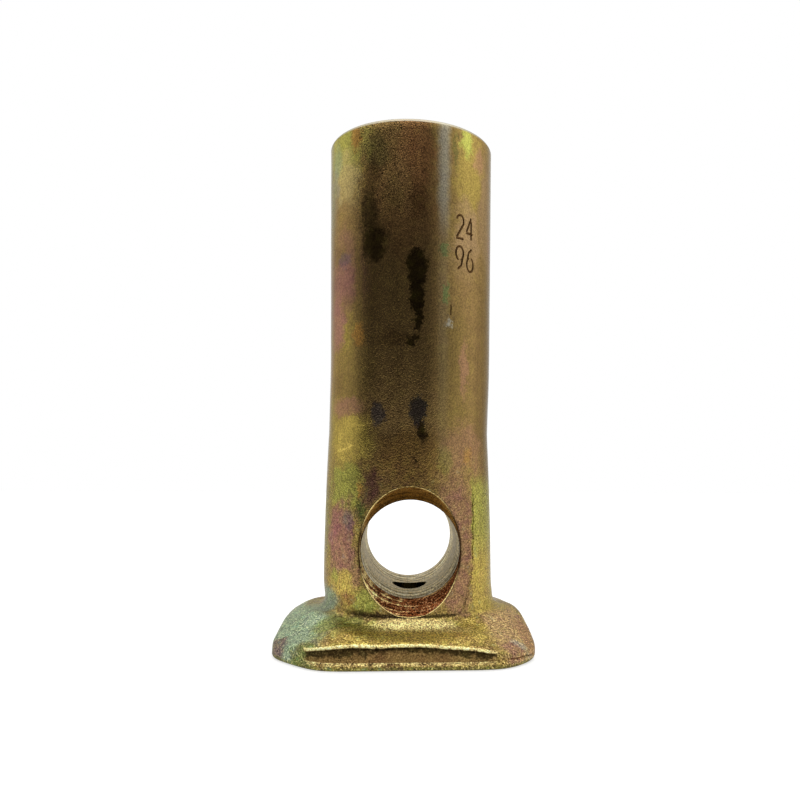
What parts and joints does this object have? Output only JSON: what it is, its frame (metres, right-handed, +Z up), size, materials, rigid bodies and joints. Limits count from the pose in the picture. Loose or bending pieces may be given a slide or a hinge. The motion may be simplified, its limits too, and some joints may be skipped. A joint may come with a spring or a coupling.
{
  "type": "threaded lifting ferrule",
  "caption": "Round steel ferrule with a tapped bore from its rim, a wide forged foot and a countersunk cross hole for an anchor bar, cast into concrete as a lifting or fixing point.",
  "frame": {"origin": "on the barrel's axis at the underside of the foot", "axes": "+Z up the barrel to the threaded mouth, +Y along the cross hole away from the marked side, +X to the right of the marked side"},
  "size_m": [0.0482, 0.0456, 0.096],
  "materials": {
    "zinc_plated_steel": "forged steel, zinc plated with a yellow chromate passivate that shades into green and pink"
  },
  "bodies": {
    "root": {"ferrule": "zinc_plated_steel"}
  },
  "joints": []
}
